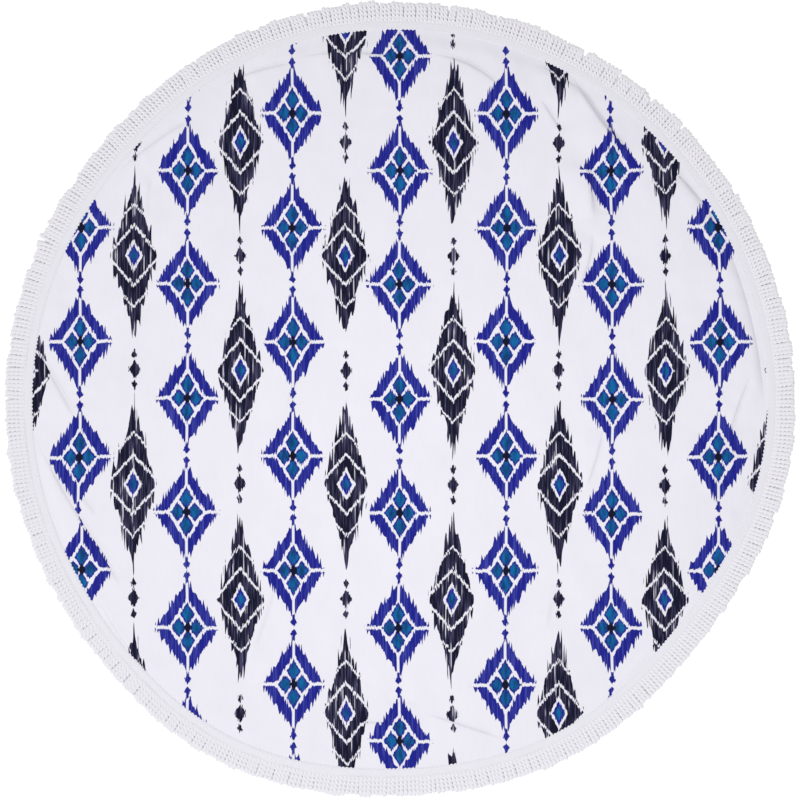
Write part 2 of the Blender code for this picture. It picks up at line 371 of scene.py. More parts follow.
def noise_2d(tree, x, y, detail=0.0):
    """Smooth noise over two coordinates, 0 to 1 and mostly from 0.3 to 0.7."""
    place = tree.nodes.new("ShaderNodeCombineXYZ")
    for socket, value in zip(place.inputs, (x, y)):
        tree.links.new(value, socket)
    node = tree.nodes.new("ShaderNodeTexNoise")
    node.noise_dimensions = "2D"
    node.inputs["Scale"].default_value = 1.0
    node.inputs["Detail"].default_value = detail
    tree.links.new(place.outputs[0], node.inputs["Vector"])
    return node.outputs[0]


def mixed(tree, factor, first, second):
    """A colour mix of sockets or plain colours."""
    node = tree.nodes.new("ShaderNodeMix")
    node.data_type = "RGBA"
    for socket, value in zip((node.inputs[0], node.inputs[6], node.inputs[7]), (factor, first, second)):
        if isinstance(value, bpy.types.NodeSocket):
            tree.links.new(value, socket)
        else:
            socket.default_value = value
    return node.outputs[2]


def new_group(name, inputs, outputs):
    """(group, its input sockets by name, its output sockets by name); inputs give (kind, value)."""
    group = bpy.data.node_groups.new(name, "ShaderNodeTree")
    for label, (kind, value) in inputs.items():
        socket = group.interface.new_socket(label, in_out="INPUT", socket_type=kind)
        if value is not None:
            socket.default_value = value
    for label, kind in outputs.items():
        group.interface.new_socket(label, in_out="OUTPUT", socket_type=kind)
    return group, group.nodes.new("NodeGroupInput").outputs, group.nodes.new("NodeGroupOutput").inputs


def new_material(name):
    """(material, its node tree, its Principled BSDF)."""
    material = bpy.data.materials.new(name)
    material.use_nodes = True
    tree = material.node_tree
    return material, tree, tree.nodes["Principled BSDF"]


def place_group(tree, group, **values):
    """A group node with these sockets or values on its inputs; _ in a name stands for a space."""
    node = tree.nodes.new("ShaderNodeGroup")
    node.node_tree = group
    for label, value in values.items():
        socket = node.inputs[label.replace("_", " ")]
        if isinstance(value, bpy.types.NodeSocket):
            tree.links.new(value, socket)
        else:
            socket.default_value = value
    return node.outputs


LIGHT_LEVEL = 1.10  # how bright a white surface reads under the studio's light


def dyed(red, green, blue):
    """The colour that reads as this sRGB value, 0 to 255, in the studio's light."""
    linear = [((c / 255 + 0.055) / 1.055) ** 2.4 / LIGHT_LEVEL for c in (red, green, blue)]
    return (*linear, 1.0)


# The print is ikat: its motifs are drawn by dyed threads that run up the towel, each shifted a
# little, so that every outline breaks into spikes along them. All sizes are in millimetres.
THREAD = 1.5
SPIKE_WIDTH = 6.4
MEDALLION_COLUMNS = 200
MEDALLION_ROWS = 215
SPINDLE_COLUMNS = 200
SPINDLE_ROWS = 430
SOFT_EDGE = 1.1

COBALT = dyed(24, 28, 138)
COBALT_STREAK = dyed(78, 86, 180)
TEAL = dyed(0, 101, 164)
TEAL_DEEP = dyed(0, 60, 114)
NAVY = dyed(9, 10, 40)
NAVY_STREAK = dyed(84, 81, 116)
WHITE = dyed(238, 236, 245)


def lozenge(tree, across, up, half_width, half_height):
    """A mask, 1 inside the lozenge of these half-diagonals round the place where both are 0."""
    reach = calc(tree, "MULTIPLY_ADD", across, half_height / half_width, up)
    return calc(tree, "MULTIPLY_ADD", reach, -1 / SOFT_EDGE, half_height / SOFT_EDGE + 0.5, clamp=True)


def band(tree, value, low, high):
    """A mask, 1 where the value is between low and high."""
    offset = calc(tree, "ABSOLUTE", calc(tree, "SUBTRACT", value, (low + high) / 2))
    return calc(tree, "MULTIPLY_ADD", offset, -1 / SOFT_EDGE, (high - low) / 2 / SOFT_EDGE + 0.5, clamp=True)


def outside(tree, mask):
    return calc(tree, "SUBTRACT", 1.0, mask)


def place_in_repeat(tree, x, y, columns, rows, first_place):
    """(across, up) from the middle of the nearest motif; each second column is half a row higher."""
    from_first = calc(tree, "SUBTRACT", x, first_place[0])
    column = calc(tree, "ROUND", calc(tree, "DIVIDE", from_first, columns))
    across = calc(tree, "SUBTRACT", from_first, calc(tree, "MULTIPLY", column, columns))
    lift = calc(tree, "MULTIPLY_ADD", calc(tree, "FLOORED_MODULO", column, 2.0), rows / 2, first_place[1])
    lowered = calc(tree, "SUBTRACT", y, lift)
    row = calc(tree, "ROUND", calc(tree, "DIVIDE", lowered, rows))
    return across, calc(tree, "SUBTRACT", lowered, calc(tree, "MULTIPLY", row, rows))


def add_threads(tree, x, y):
    """(jitter, spike): each thread's own shift, -1 to 1, and the tapering bundles, 0 to 1."""
    thread = calc(tree, "MULTIPLY", calc(tree, "FLOOR", calc(tree, "DIVIDE", x, THREAD)), 7.77)
    own = noise_2d(tree, thread, calc(tree, "DIVIDE", y, 34.0))
    jitter = calc(tree, "MULTIPLY_ADD", own, 3.4, -1.7)
    wander = noise_2d(tree, calc(tree, "DIVIDE", x, 19.0), calc(tree, "DIVIDE", y, 130.0))
    bundle = calc(tree, "DIVIDE", calc(tree, "MULTIPLY_ADD", wander, 14.0, x), SPIKE_WIDTH)
    taper = calc(tree, "MULTIPLY", calc(tree, "PINGPONG", bundle, 0.5), 2.0)
    number = calc(tree, "MULTIPLY", calc(tree, "FLOOR", bundle), 5.31)
    strength = noise_2d(tree, number, calc(tree, "DIVIDE", y, 46.0))
    strength = calc(tree, "MULTIPLY_ADD", strength, 2.4, -0.55, clamp=True)
    return jitter, calc(tree, "MULTIPLY", taper, strength)


def add_medallion(tree, x, y, jitter, spike):
    """(cobalt, teal, navy) masks of the quartered medallion."""
    across, up = place_in_repeat(tree, x, y, MEDALLION_COLUMNS, MEDALLION_ROWS, (0, 0))
    side = calc(tree, "ABSOLUTE", across)
    height = calc(tree, "ABSOLUTE", up)
    feathered = calc(tree, "MULTIPLY_ADD", jitter, 2.2, height)
    flamed = calc(tree, "MULTIPLY_ADD", spike, -15.0, feathered)
    toothed = calc(tree, "MULTIPLY_ADD", spike, 8.0, feathered)

    frame_mask = calc(tree, "MULTIPLY", lozenge(tree, side, flamed, 57, 83),
                      outside(tree, lozenge(tree, side, toothed, 38, 58)))
    level_slit = band(tree, calc(tree, "MULTIPLY_ADD", jitter, 1.6, up), -3.0, 3.0)
    upright_slit = band(tree, across, -2.4, 2.4)
    frame_mask = total(tree, "MULTIPLY", frame_mask, outside(tree, level_slit), outside(tree, upright_slit))

    petal_up = calc(tree, "ABSOLUTE", calc(tree, "SUBTRACT", feathered, 25.0))
    petal_side = calc(tree, "ABSOLUTE", calc(tree, "SUBTRACT", side, 16.0))
    petals = calc(tree, "MAXIMUM", lozenge(tree, side, petal_up, 14, 22.5),
                  lozenge(tree, petal_side, feathered, 15, 18.5))
    teal = calc(tree, "MAXIMUM", lozenge(tree, side, petal_up, 10.2, 16.6),
                lozenge(tree, petal_side, feathered, 10.8, 13.4))
    heart = lozenge(tree, side, feathered, 8, 12)

    stem = calc(tree, "MULTIPLY", band(tree, across, -2.6, 2.6), band(tree, feathered, 83, 96))
    bud_up = calc(tree, "ABSOLUTE", calc(tree, "SUBTRACT", feathered, 97.0))
    bud = lozenge(tree, side, bud_up, 7, 9)
    cobalt = total(tree, "MAXIMUM", frame_mask, petals, stem, bud)
    return cobalt, teal, heart


def add_spindle(tree, x, y, jitter, spike):
    """(navy, cobalt, teal) masks of the tall spindle and the small lozenges between two of them."""
    first_place = (SPINDLE_COLUMNS / 2, MEDALLION_ROWS / 4)  # as far from the medallions on either side
    across, up = place_in_repeat(tree, x, y, SPINDLE_COLUMNS, SPINDLE_ROWS, first_place)
    side = calc(tree, "ABSOLUTE", across)
    height = calc(tree, "ABSOLUTE", up)
    feathered = calc(tree, "MULTIPLY_ADD", jitter, 3.2, height)
    flamed = calc(tree, "MULTIPLY_ADD", spike, -34.0, feathered)
    body = lozenge(tree, side, flamed, 40, 142)

    chevron = calc(tree, "MULTIPLY_ADD", side, 1.15, feathered)
    cuts = calc(tree, "MAXIMUM", band(tree, chevron, 54, 60), band(tree, chevron, 96, 100.5))
    window = lozenge(tree, side, feathered, 17, 32)
    body = total(tree, "MULTIPLY", body, outside(tree, cuts), outside(tree, window))

    between = calc(tree, "ABSOLUTE", calc(tree, "SUBTRACT", feathered, SPINDLE_ROWS / 2))
    beside = calc(tree, "ABSOLUTE", calc(tree, "SUBTRACT", between, 29.0))
    beads = calc(tree, "MAXIMUM", lozenge(tree, side, between, 12, 18), lozenge(tree, side, beside, 6, 9))
    navy = calc(tree, "MAXIMUM", body, beads)
    return navy, lozenge(tree, side, feathered, 12, 23), lozenge(tree, side, feathered, 7, 13)


ikat, ikat_in, ikat_out = new_group(
    "ikat_print",
    {
        "Place": ("NodeSocketVector", None),
        "Ground": ("NodeSocketColor", WHITE),
        "Cobalt": ("NodeSocketColor", COBALT),
        "Teal": ("NodeSocketColor", TEAL),
        "Navy": ("NodeSocketColor", NAVY),
    },
    {"Color": "NodeSocketColor", "Printed": "NodeSocketFloat"},
)
print_place = ikat.nodes.new("ShaderNodeSeparateXYZ")
ikat.links.new(ikat_in["Place"], print_place.inputs[0])
print_x, print_y, _ = print_place.outputs
jitter, spike = add_threads(ikat, print_x, print_y)
cobalt, teal, heart = add_medallion(ikat, print_x, print_y, jitter, spike)
navy, bead, bead_heart = add_spindle(ikat, print_x, print_y, jitter, spike)

fine_thread = calc(ikat, "MULTIPLY", calc(ikat, "FLOOR", calc(ikat, "DIVIDE", print_x, 1.7)), 3.91)
streak = noise_2d(ikat, fine_thread, calc(ikat, "DIVIDE", print_y, 75.0), detail=1.0)
bare = calc(ikat, "MULTIPLY_ADD", streak, 12.0, -8.2, clamp=True)
faded = calc(ikat, "MULTIPLY_ADD", streak, 5.0, -2.4, clamp=True)
patch = noise_2d(ikat, calc(ikat, "DIVIDE", print_x, 9.0), calc(ikat, "DIVIDE", print_y, 30.0), detail=2.0)
patch = calc(ikat, "MULTIPLY_ADD", patch, 3.0, -1.0, clamp=True)

cobalt_dye = mixed(ikat, calc(ikat, "MULTIPLY", faded, 0.55), ikat_in["Cobalt"], COBALT_STREAK)
teal_dye = mixed(ikat, patch, ikat_in["Teal"], TEAL_DEEP)
navy_dye = mixed(ikat, calc(ikat, "MULTIPLY", faded, 0.75), ikat_in["Navy"], NAVY_STREAK)
navy_cover = calc(ikat, "MULTIPLY", navy, outside(ikat, calc(ikat, "MULTIPLY", bare, 0.75)))
colour = mixed(ikat, calc(ikat, "MAXIMUM", cobalt, bead), ikat_in["Ground"], cobalt_dye)
colour = mixed(ikat, calc(ikat, "MAXIMUM", teal, bead_heart), colour, teal_dye)
colour = mixed(ikat, navy_cover, colour, navy_dye)
colour = mixed(ikat, heart, colour, NAVY)
ikat.links.new(colour, ikat_out["Color"])
ikat.links.new(total(ikat, "MAXIMUM", cobalt, bead, navy_cover, heart), ikat_out["Printed"])

# Towelling: its pile as height and as a faint mottling of the colour. Places are in millimetres.
pile, pile_in, pile_out = new_group(
    "towel_pile",
    {
        "Place": ("NodeSocketVector", None),
        "Tuft Size": ("NodeSocketFloat", 1.1),
        "Brushing": ("NodeSocketFloat", 0.5),
    },
    {"Height": "NodeSocketFloat", "Shade": "NodeSocketFloat"},
)
tufts = pile.nodes.new("ShaderNodeVectorMath")
tufts.operation = "DIVIDE"
pile.links.new(pile_in["Place"], tufts.inputs[0])
pile.links.new(pile_in["Tuft Size"], tufts.inputs[1])
tuft_noise = pile.nodes.new("ShaderNodeTexNoise")
tuft_noise.inputs["Scale"].default_value = 1.0
tuft_noise.inputs["Detail"].default_value = 2.0
pile.links.new(tufts.outputs[0], tuft_noise.inputs["Vector"])
pile_place = pile.nodes.new("ShaderNodeSeparateXYZ")
pile.links.new(pile_in["Place"], pile_place.inputs[0])
brushed = noise_2d(pile, calc(pile, "DIVIDE", pile_place.outputs[0], 7.0),
                   calc(pile, "DIVIDE", pile_place.outputs[1], 22.0), detail=3.0)
pile_height = calc(pile, "MULTIPLY_ADD", brushed, pile_in["Brushing"], tuft_noise.outputs[0])
broad = noise_2d(pile, calc(pile, "DIVIDE", pile_place.outputs[0], 60.0),
                 calc(pile, "DIVIDE", pile_place.outputs[1], 90.0), detail=2.0)
shade = total(pile, "ADD", calc(pile, "MULTIPLY", tuft_noise.outputs[0], 0.06),
              calc(pile, "MULTIPLY", brushed, 0.03), calc(pile, "MULTIPLY_ADD", broad, 0.05, 0.93))
pile.links.new(pile_height, pile_out["Height"])
pile.links.new(shade, pile_out["Shade"])


def millimetres(tree, uv_map):
    """A place in millimetres, from a UV map in metres."""
    flat_map = tree.nodes.new("ShaderNodeUVMap")
    flat_map.uv_map = uv_map
    scaled = tree.nodes.new("ShaderNodeVectorMath")
    scaled.operation = "SCALE"
    scaled.inputs["Scale"].default_value = 1000.0
    tree.links.new(flat_map.outputs[0], scaled.inputs[0])
    return scaled.outputs[0]


def shaded(tree, colour_socket, shade_socket):
    """A colour multiplied by a grey value."""
    node = tree.nodes.new("ShaderNodeVectorMath")
    node.operation = "SCALE"
    tree.links.new(shade_socket, node.inputs["Scale"])
    if isinstance(colour_socket, bpy.types.NodeSocket):
        tree.links.new(colour_socket, node.inputs[0])
    else:
        node.inputs[0].default_value = colour_socket[:3]
    return node.outputs[0]


def add_bump(tree, shader, height, strength, distance):
    bump = tree.nodes.new("ShaderNodeBump")
    bump.inputs["Strength"].default_value = strength
    bump.inputs["Distance"].default_value = distance
    tree.links.new(height, bump.inputs["Height"])
    tree.links.new(bump.outputs[0], shader.inputs["Normal"])


velour, velour_tree, velour_shader = new_material("printed_velour")
velour_place = millimetres(velour_tree, "flat_print")
velour_print = place_group(velour_tree, ikat, Place=velour_place)
velour_pile = place_group(velour_tree, pile, Place=velour_place, Tuft_Size=1.0, Brushing=0.8)
velour_tree.links.new(
    shaded(velour_tree, velour_print["Color"], velour_pile["Shade"]), velour_shader.inputs["Base Color"]
)
velour_tree.links.new(
    calc(velour_tree, "MULTIPLY_ADD", velour_print["Printed"], -0.12, 0.95), velour_shader.inputs["Roughness"]
)
velour_shader.inputs["Specular IOR Level"].default_value = 0.15
velour_shader.inputs["Sheen Weight"].default_value = 0.08
velour_shader.inputs["Sheen Roughness"].default_value = 0.5
add_bump(velour_tree, velour_shader, velour_pile["Height"], 0.35, 0.0006)

terry, terry_tree, terry_shader = new_material("plain_terry_back")
terry_pile = place_group(terry_tree, pile, Place=millimetres(terry_tree, "flat_print"),
                         Tuft_Size=1.7, Brushing=0.2)
terry_tree.links.new(shaded(terry_tree, WHITE, terry_pile["Shade"]), terry_shader.inputs["Base Color"])
terry_shader.inputs["Roughness"].default_value = 0.95
terry_shader.inputs["Specular IOR Level"].default_value = 0.15
add_bump(terry_tree, terry_shader, terry_pile["Height"], 0.9, 0.0012)

cloth = new_piece("printed_cloth", cloth_points, cloth_faces, (velour, terry))
cloth_mesh = cloth.data
plain_from = len(face_triangles)
material_slots = np.ones(len(cloth_faces), np.int32)
material_slots[:plain_from] = 0
cloth_mesh.polygons.foreach_set("material_index", material_slots)
flat_places = np.stack(
    [np.concatenate(both) for both in zip(flat_place(face_x, face_y), (back_x, back_y))], axis=1
)
corners = corner_points(cloth_mesh)
add_uv_map(cloth_mesh, "flat_print", flat_places[corners])

largest = CLOTH_EDGE[1].max()
spread = cloth_points[:, :2] / largest
bake_places = 0.5 + FACE_SHARE * spread
bake_places[face_count:] = BACK_PLACE + BACK_SHARE * spread[face_count:] * (-1, 1)
bake_corners = bake_places[corners]
edge_from = 3 * plain_from
edge_corners = slice(edge_from, edge_from + 4 * RIM_POINTS)
on_back = corners[edge_corners] >= face_count
bake_corners[edge_corners][on_back] = 0.5 + EDGE_SHARE * spread[corners[edge_corners][on_back]]
add_uv_map(cloth_mesh, "OFBake", bake_corners)

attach(cloth, "root")
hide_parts("towel_cloth")

# ---- The heading ----
# The trimming's own woven band, 18 mm of ribbed cotton tape laid over the cloth's edge. The loops
# grow out of its outer edge, and its inner edge is finely scalloped where the loops' yarn turns.

HEADING_EDGE = outer_edge("fringe_heading")
HEADING_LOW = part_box("fringe_heading")[0].z
HEADING_TOP = HEADING_LOW + 0.0007
LOOP_COUNT = 600
RIBS_PER_LOOP = 2
RIB_HEIGHT = 0.00014
SCALLOP = 0.0021
STEPS_PER_LOOP = 8
# across the band: the share of its width from the outer edge, and the share of its thickness
HEADING_PROFILE = (
    (0.000, 0.10), (0.015, 0.42), (0.050, 0.60), (0.160, 0.72), (0.330, 0.86), (0.500, 0.96),
    (0.620, 1.00), (0.740, 0.94), (0.840, 0.80), (0.920, 0.62), (0.980, 0.45), (1.000, 0.10),
)

heading_columns = LOOP_COUNT * STEPS_PER_LOOP
column = np.arange(heading_columns)
angle = column * math.tau / heading_columns
outer = radius_at(HEADING_EDGE, angle)
turn_in_loop = column / STEPS_PER_LOOP * math.tau
scallop = SCALLOP * abs(np.sin(turn_in_loop / 2))
rib = RIB_HEIGHT * np.cos(turn_in_loop * RIBS_PER_LOOP)
sway = 0.00022 * rumple(np.cos(angle) * outer, np.sin(angle) * outer, 0.045, 31)
heading_rings = []
for share, level in HEADING_PROFILE:
    inset = share * (HEADING_WIDTH - SCALLOP * 0.5) + (scallop - SCALLOP * 0.5) * (share > 0.85)
    radius = outer - inset
    height = HEADING_LOW + level * (HEADING_TOP - RIB_HEIGHT - HEADING_LOW) + level * (rib + sway)
    heading_rings.append(np.stack([radius * np.cos(angle), radius * np.sin(angle), height], axis=1))
for ring in (heading_rings[-1], heading_rings[0]):
    heading_rings.append(ring * (1, 1, 0) + (0, 0, HEADING_LOW))

ring_count = len(heading_rings)
ring_index = np.arange(ring_count)
heading_faces = []
for ring in range(ring_count):
    here = ring * heading_columns
    there = (ring + 1) % ring_count * heading_columns
    following = (column + 1) % heading_columns
    quads = np.stack([here + column, here + following, there + following, there + column], axis=1)
    heading_faces += quads[:, ::-1].tolist()

tape, tape_tree, tape_shader = new_material("woven_tape")
YARN = dyed(242, 241, 249)

weave, weave_in, weave_out = new_group(
    "yarn_twist",
    {
        "Place": ("NodeSocketVector", None),
        "Pitch": ("NodeSocketFloat", 1.2),
        "Slant": ("NodeSocketFloat", 1.0),
        "Fuzz": ("NodeSocketFloat", 0.4),
    },
    {"Height": "NodeSocketFloat", "Shade": "NodeSocketFloat"},
)
weave_place = weave.nodes.new("ShaderNodeSeparateXYZ")
weave.links.new(weave_in["Place"], weave_place.inputs[0])
slanted = calc(weave, "MULTIPLY_ADD", weave_place.outputs[0], weave_in["Slant"], weave_place.outputs[1])
ply_wave = calc(weave, "PINGPONG", calc(weave, "DIVIDE", slanted, weave_in["Pitch"]), 0.5)
ply_wave = calc(weave, "POWER", calc(weave, "MULTIPLY", ply_wave, 2.0), 0.6)
fuzz = noise_2d(weave, calc(weave, "MULTIPLY", weave_place.outputs[0], 1.6),
                calc(weave, "MULTIPLY", weave_place.outputs[1], 1.6), detail=3.0)
weave.links.new(calc(weave, "MULTIPLY_ADD", fuzz, weave_in["Fuzz"], ply_wave), weave_out["Height"])
# Shade: painted shade, darker in the grooves between the plies where the ply wave is low, with a random
# mottling of the fuzz
weave.links.new(
    total(weave, "ADD", calc(weave, "MULTIPLY", ply_wave, 0.05), calc(weave, "MULTIPLY_ADD", fuzz, 0.06, 0.91)),
    weave_out["Shade"],
)

tape_weave = place_group(tape_tree, weave, Place=millimetres(tape_tree, "along_tape"),
                         Pitch=0.9, Slant=0.35, Fuzz=0.5)
# the tape's colour carries painted shade in the grooves between its plies
tape_tree.links.new(shaded(tape_tree, YARN, tape_weave["Shade"]), tape_shader.inputs["Base Color"])
tape_shader.inputs["Roughness"].default_value = 0.9
tape_shader.inputs["Specular IOR Level"].default_value = 0.2
add_bump(tape_tree, tape_shader, tape_weave["Height"], 0.5, 0.0003)

heading = new_piece("woven_heading", np.concatenate(heading_rings), heading_faces, (tape,))
heading_corners = corner_points(heading.data)
tape_length = angle * outer.mean()
widths = [share * HEADING_WIDTH for share, _ in HEADING_PROFILE]
widths += [1.05 * HEADING_WIDTH, 2.0 * HEADING_WIDTH]
along_tape = np.stack([np.tile(tape_length, ring_count), np.repeat(widths, heading_columns)], axis=1)
add_uv_map(heading.data, "along_tape", along_tape[heading_corners])
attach(heading, "root")
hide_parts("fringe_heading")

# ---- The heading's stitches ----
# Two rows of lockstitch in white thread, 3 mm in from either edge, hold the heading to the cloth.

STITCH_PITCH = 0.0032
STITCH_LENGTH = 0.0024
STITCH_WIDTH = 0.00036
STITCH_RISE = 0.00004
STITCH_INSETS = (0.0030, 0.0148)

stitch_points = []
stitch_faces = []
for inset in STITCH_INSETS:
    level = float(np.interp(inset / HEADING_WIDTH, *zip(*HEADING_PROFILE)))
    tape_height = HEADING_LOW + level * (HEADING_TOP - HEADING_LOW)
    mean_radius = float(outer.mean()) - inset
    stitches = round(math.tau * mean_radius / STITCH_PITCH)
    for i in range(stitches):
        turn = i * math.tau / stitches
        radius = float(radius_at(HEADING_EDGE, turn)) - inset
        outward = Vector((math.cos(turn), math.sin(turn), 0))
        onward = Vector((-math.sin(turn), math.cos(turn), 0))
        middle = outward * radius + Vector((0, 0, tape_height))
        first = len(stitch_points)
        for share in (-1, -0.5, 0.5, 1):
            thick = 0.25 if abs(share) == 1 else 1
            rise = -STITCH_RISE if abs(share) == 1 else STITCH_RISE
            for corner in range(4):
                across = math.cos(math.tau * corner / 4) * STITCH_WIDTH / 2 * thick
                lift = math.sin(math.tau * corner / 4) * STITCH_WIDTH / 2 * thick + rise
                point = middle + onward * share * STITCH_LENGTH / 2 + outward * across
                stitch_points.append((point.x, point.y, point.z + lift))
        for ring in range(3):
            for corner in range(4):
                here = first + 4 * ring
                following = (corner + 1) % 4
                stitch_faces.append((here + corner, here + following, here + 4 + following, here + 4 + corner))
        stitch_faces.append((first + 3, first + 2, first + 1, first))
        stitch_faces.append((first + 12, first + 13, first + 14, first + 15))

thread, thread_tree, thread_shader = new_material("white_sewing_thread")
thread_place = thread_tree.nodes.new("ShaderNodeTexCoord").outputs["Object"]
thread_noise = thread_tree.nodes.new("ShaderNodeTexNoise")
thread_noise.inputs["Scale"].default_value = 900.0
thread_tree.links.new(thread_place, thread_noise.inputs["Vector"])
thread_shade = calc(thread_tree, "MULTIPLY_ADD", thread_noise.outputs[0], 0.1, 0.90)
thread_tree.links.new(shaded(thread_tree, YARN, thread_shade), thread_shader.inputs["Base Color"])
thread_shader.inputs["Roughness"].default_value = 0.7
add_bump(thread_tree, thread_shader, thread_noise.outputs[0], 0.3, 0.0002)

stitches_piece = new_piece("heading_stitches", np.array(stitch_points), stitch_faces, (thread,))
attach(stitches_piece, "root")

# ---- The skirt of loops ----
# Thick cotton yarn, let out of the heading in long loops that are each twisted on themselves, so that
# they hang as two-ply cords with a small round eye at the end. They lie side by side, a little
# uneven, and stand open in a few places.

LOOP_LENGTH = 0.0360
LOOP_UNEVENNESS = 0.0009
CLUMP_UNEVENNESS = 0.0016
LEAST_PULL = 0.0001  # how far each loop of a clump is drawn towards the next
GREATEST_PULL = 0.0009
CROSSINGS = 4  # of a cord's two plies, seen from above
CROSSING_STEP = 0.0081
FIRST_CROSSING = 0.0020  # from the heading
PLY_RADIUS = 0.00274
PLY_FLATNESS = 0.60  # its height as a share of its width
PLY_LUMPS = 0.05  # share of the radius
ROOT_OFFSET = 0.0019  # each ply's centre from the cord's, sideways
END_OFFSET = 0.0017
SLACKNESS = 0.14  # how much these differ from loop to loop
PLY_LIFT = 0.0006  # and up and down
CORD_HEIGHT = 0.0025
LOOSEST_AT_DEG = 75  # where the fringe has the thinnest yarn, and across from it the thickest
LOOSENESS = 0.11  # share of the radius
EYE_DROP = 0.0004
ROOT_DEPTH = 0.0015  # how far inside the heading the yarn starts
ROOT_HEIGHT = 0.0032
ROOT_SPREAD = 0.24  # how much wider it is there
ROOT_FLATNESS = 0.25  # and its height as a share of what it is further out
ROOT_REACH = 0.0085  # over which it gets its full shape
PLY_SIDES = 8
STEPS_ALONG = 20
STEPS_ROUND_EYE = 9
LOOP_SEED = 4

# Where the fringe stands open.
Split = namedtuple("Split", "at_deg depth width")
OPEN_SPLITS = (
    Split(5, 0.018, 0.005),
    Split(44, 0.020, 0.005),
    Split(50, 0.022, 0.006),
    Split(62, 0.026, 0.010),
    Split(75.5, 0.020, 0.005),
    Split(83, 0.026, 0.006),
    Split(93, 0.022, 0.004),
    Split(104, 0.024, 0.005),
    Split(121, 0.020, 0.005),
    Split(156, 0.028, 0.006),
    Split(180, 0.020, 0.006),
    Split(211, 0.020, 0.005),
)
SPLIT_REACH = 0.022  # along the edge, how far loops lean away from a split

chance = random.Random(LOOP_SEED)
loop_angles = (np.arange(LOOP_COUNT) + 0.5) * math.tau / LOOP_COUNT
loop_base = radius_at(HEADING_EDGE, loop_angles)
loop_lengths = LOOP_LENGTH + LOOP_UNEVENNESS * np.array([chance.gauss(0, 1) for _ in loop_angles])
loop_lengths += 0.0009 * rumple(np.cos(loop_angles), np.sin(loop_angles), 0.045, 41)
loop_lean = 0.0022 * rumple(np.cos(loop_angles), np.sin(loop_angles), 0.060, 42)
first_crossings = FIRST_CROSSING + 0.0012 * rumple(np.cos(loop_angles), np.sin(loop_angles), 0.050, 43)

# neighbours clump together, two to four to a clump, with a slit between clumps that closes at the end
loop_bow = np.zeros(LOOP_COUNT)
bow_place = np.ones(LOOP_COUNT)
clump_start = 0
while clump_start < LOOP_COUNT:
    clump_end = min(clump_start + chance.choice((2, 2, 3, 3, 4)), LOOP_COUNT)
    middle = (clump_start + clump_end - 1) / 2
    pull = LEAST_PULL + (GREATEST_PULL - LEAST_PULL) * chance.random() ** 1.7
    longer = chance.gauss(0, CLUMP_UNEVENNESS)
    bow_place[clump_start:clump_end] = chance.uniform(0.7, 2.0)
    for i in range(clump_start, clump_end):
        loop_bow[i] = -(i - middle) * pull
        loop_lengths[i] += longer
    clump_start = clump_end
loop_lean += 0.3 * loop_bow


def past_root(out):
    """How much of its full shape the yarn has at this distance from the heading."""
    return eased((out + ROOT_DEPTH) / ROOT_REACH)


def loop_centreline(number):
    """The points of one loop's yarn, out along one ply, round the eye and back along the other."""
    first_crossing = first_crossings[number] + chance.gauss(0, 0.0007)
    crossing_step = CROSSING_STEP * chance.gauss(1, 0.04)
    eye_at = first_crossing + (CROSSINGS - 0.5) * crossing_step
    out = np.linspace(-ROOT_DEPTH, eye_at, STEPS_ALONG + 1)
    turn = math.pi * ((out - first_crossing) / crossing_step + 0.5)
    height = ROOT_HEIGHT + (CORD_HEIGHT - ROOT_HEIGHT) * past_root(out)
    lift = PLY_LIFT * past_root(out) * np.sin(turn)
    slack = 1 + SLACKNESS * chance.uniform(-1, 1)
    offset = slack * (ROOT_OFFSET + (END_OFFSET - ROOT_OFFSET) * out / eye_at) * np.cos(turn)
    one_ply = np.stack([out, offset, height - lift], axis=1)
    other_ply = np.stack([out, -offset, height + lift], axis=1)

    swing = np.arange(1, STEPS_ROUND_EYE) * math.pi / STEPS_ROUND_EYE
    eye_length = loop_lengths[number] - PLY_RADIUS - eye_at
    eye = np.stack([eye_at + eye_length * np.sin(swing), slack * END_OFFSET * np.cos(swing),
                    CORD_HEIGHT - EYE_DROP * np.sin(swing)], axis=1)
    return np.concatenate([one_ply, eye, other_ply[::-1]])


def lean_of(number, out):
    """How far a loop has moved sideways at this distance from the heading."""
    share = np.clip(out / LOOP_LENGTH, 0, 1)
    moved = loop_lean[number] * share**1.6
    moved += loop_bow[number] * np.sin(math.pi * share ** bow_place[number])
    for split in OPEN_SPLITS:
        gap = (loop_angles[number] - math.radians(split.at_deg) + math.pi) % math.tau - math.pi
        away = gap * loop_base[number]
        begins = LOOP_LENGTH - split.depth
        opened = np.clip((out - begins) / split.depth, 0, 1) ** 1.2
        moved = moved + math.copysign(split.width / 2, away) * opened * math.exp(-((away / SPLIT_REACH) ** 2))
    return moved


def tube_round(path, radii, flatness):
    """Rings of points round a path, PLY_SIDES to each of its points."""
    ahead = np.gradient(path, axis=0)
    ahead /= np.linalg.norm(ahead, axis=1)[:, None]
    level = np.cross(ahead, (0, 0, 1))
    level /= np.linalg.norm(level, axis=1)[:, None]
    above = flatness[:, None] * np.cross(level, ahead)
    swing = np.arange(PLY_SIDES) * math.tau / PLY_SIDES
    rings = np.cos(swing)[:, None] * level[:, None, :] + np.sin(swing)[:, None] * above[:, None, :]
    return path[:, None, :] + radii[:, None, None] * rings


def yarn_length(path):
    steps = np.linalg.norm(np.diff(path, axis=0), axis=1)
    return np.concatenate([[0], np.cumsum(steps)])


